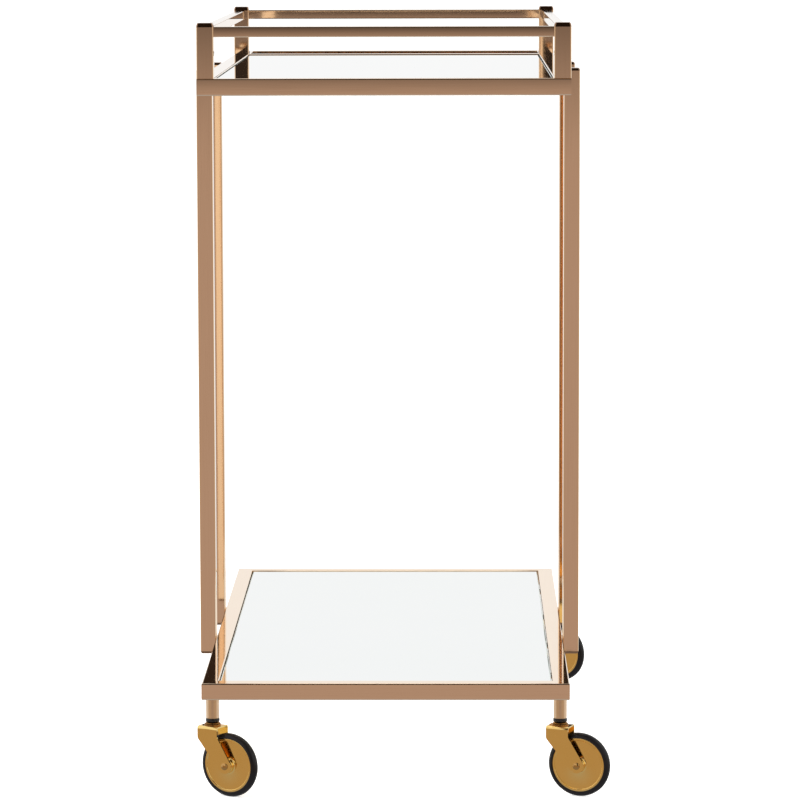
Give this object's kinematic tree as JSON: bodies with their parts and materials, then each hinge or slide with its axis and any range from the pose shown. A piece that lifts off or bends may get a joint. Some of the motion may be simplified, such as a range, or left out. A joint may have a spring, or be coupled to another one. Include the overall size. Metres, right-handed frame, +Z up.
{
  "type": "bar cart on wheels",
  "caption": "Two-tier bar cart: rose-gold square-tube frame with push handle, mirrored shelves, gallery rail round the top and polished gold swivel casters with black tyres.",
  "frame": {"origin": "on the floor under the centre of the cart's two rectangular frames", "axes": "+X across the cart to the right when looking along +Y, +Y along the cart's length towards the push handle, +Z up"},
  "size_m": [0.4544, 0.893, 0.83],
  "materials": {
    "rose_gold": "plated steel tube, rose gold, fine brushed polish",
    "cap": "plated end cap, rose gold",
    "caster_gold": "polished yellow-gold plating on pressed steel",
    "fastener": "zinc plated",
    "axle": "gold passivated steel",
    "mirror": "silvered flat glass, polished edge",
    "board": "painted fibreboard",
    "ring": "black moulded",
    "bushing": "natural nylon",
    "tyre": "black moulded rubber, smooth tread"
  },
  "bodies": {
    "cart": {"upper_front_rail": "rose_gold", "upper_rear_rail": "rose_gold", "upper_left_rail": "rose_gold", "upper_right_rail": "rose_gold", "handle_bar": "rose_gold", "lower_front_rail": "rose_gold", "lower_rear_rail": "rose_gold", "lower_left_rail": "rose_gold", "lower_right_rail": "rose_gold", "post_front_left": "rose_gold", "post_front_right": "rose_gold", "post_rear_left": "rose_gold", "post_rear_right": "rose_gold", "gallery_front_rail": "rose_gold", "gallery_rear_rail": "rose_gold", "gallery_left_rail": "rose_gold", "gallery_right_rail": "rose_gold", "leg_front_left": "rose_gold", "leg_front_right": "rose_gold", "leg_rear_left": "rose_gold", "leg_rear_right": "rose_gold", "upper_panel_tabs": "rose_gold", "lower_panel_tabs": "rose_gold", "caster_sleeves": "rose_gold", "post_caps": "cap", "leg_end_caps": "cap", "leg_bolts": "fastener", "leg_rivet_nuts": "fastener", "panel_screws": "fastener", "caster_stems": "fastener", "upper_mirror": "mirror", "lower_mirror": "mirror", "upper_board": "board", "lower_board": "board", "stem_rings": "ring"},
    "caster_front_left": {"fork_front_left": "caster_gold", "race_front_left": "caster_gold", "axle_front_left": "axle"},
    "wheel_front_left": {"disc_front_left": "caster_gold", "bushing_front_left": "bushing", "tyre_front_left": "tyre"},
    "caster_front_right": {"fork_front_right": "caster_gold", "race_front_right": "caster_gold", "axle_front_right": "axle"},
    "wheel_front_right": {"disc_front_right": "caster_gold", "bushing_front_right": "bushing", "tyre_front_right": "tyre"},
    "caster_rear_left": {"fork_rear_left": "caster_gold", "race_rear_left": "caster_gold", "axle_rear_left": "axle"},
    "wheel_rear_left": {"disc_rear_left": "caster_gold", "bushing_rear_left": "bushing", "tyre_rear_left": "tyre"},
    "caster_rear_right": {"fork_rear_right": "caster_gold", "race_rear_right": "caster_gold", "axle_rear_right": "axle"},
    "wheel_rear_right": {"disc_rear_right": "caster_gold", "bushing_rear_right": "bushing", "tyre_rear_right": "tyre"}
  },
  "joints": [
    {"name": "swivel_front_left", "type": "hinge", "parent": "cart", "child": "caster_front_left", "pos_m": [-0.187, -0.3395, 0.08], "axis": [0, 0, 1], "continuous": true},
    {"name": "spin_front_left", "type": "hinge", "parent": "caster_front_left", "child": "wheel_front_left", "pos_m": [-0.16795, -0.3505, 0.0345], "axis": [-0.5, -0.866, 0], "continuous": true},
    {"name": "swivel_front_right", "type": "hinge", "parent": "cart", "child": "caster_front_right", "pos_m": [0.187, -0.3395, 0.08], "axis": [0, 0, 1], "continuous": true},
    {"name": "spin_front_right", "type": "hinge", "parent": "caster_front_right", "child": "wheel_front_right", "pos_m": [0.20767, -0.34702, 0.0345], "axis": [-0.342, -0.9397, 0], "continuous": true},
    {"name": "swivel_rear_left", "type": "hinge", "parent": "cart", "child": "caster_rear_left", "pos_m": [-0.187, 0.3395, 0.08], "axis": [0, 0, 1], "continuous": true},
    {"name": "spin_rear_left", "type": "hinge", "parent": "caster_rear_left", "child": "wheel_rear_left", "pos_m": [-0.16706, 0.3302, 0.0345], "axis": [-0.4226, -0.9063, 0], "continuous": true},
    {"name": "swivel_rear_right", "type": "hinge", "parent": "cart", "child": "caster_rear_right", "pos_m": [0.187, 0.3395, 0.08], "axis": [0, 0, 1], "continuous": true},
    {"name": "spin_rear_right", "type": "hinge", "parent": "caster_rear_right", "child": "wheel_rear_right", "pos_m": [0.20502, 0.32688, 0.0345], "axis": [-0.5736, -0.8192, 0], "continuous": true}
  ]
}
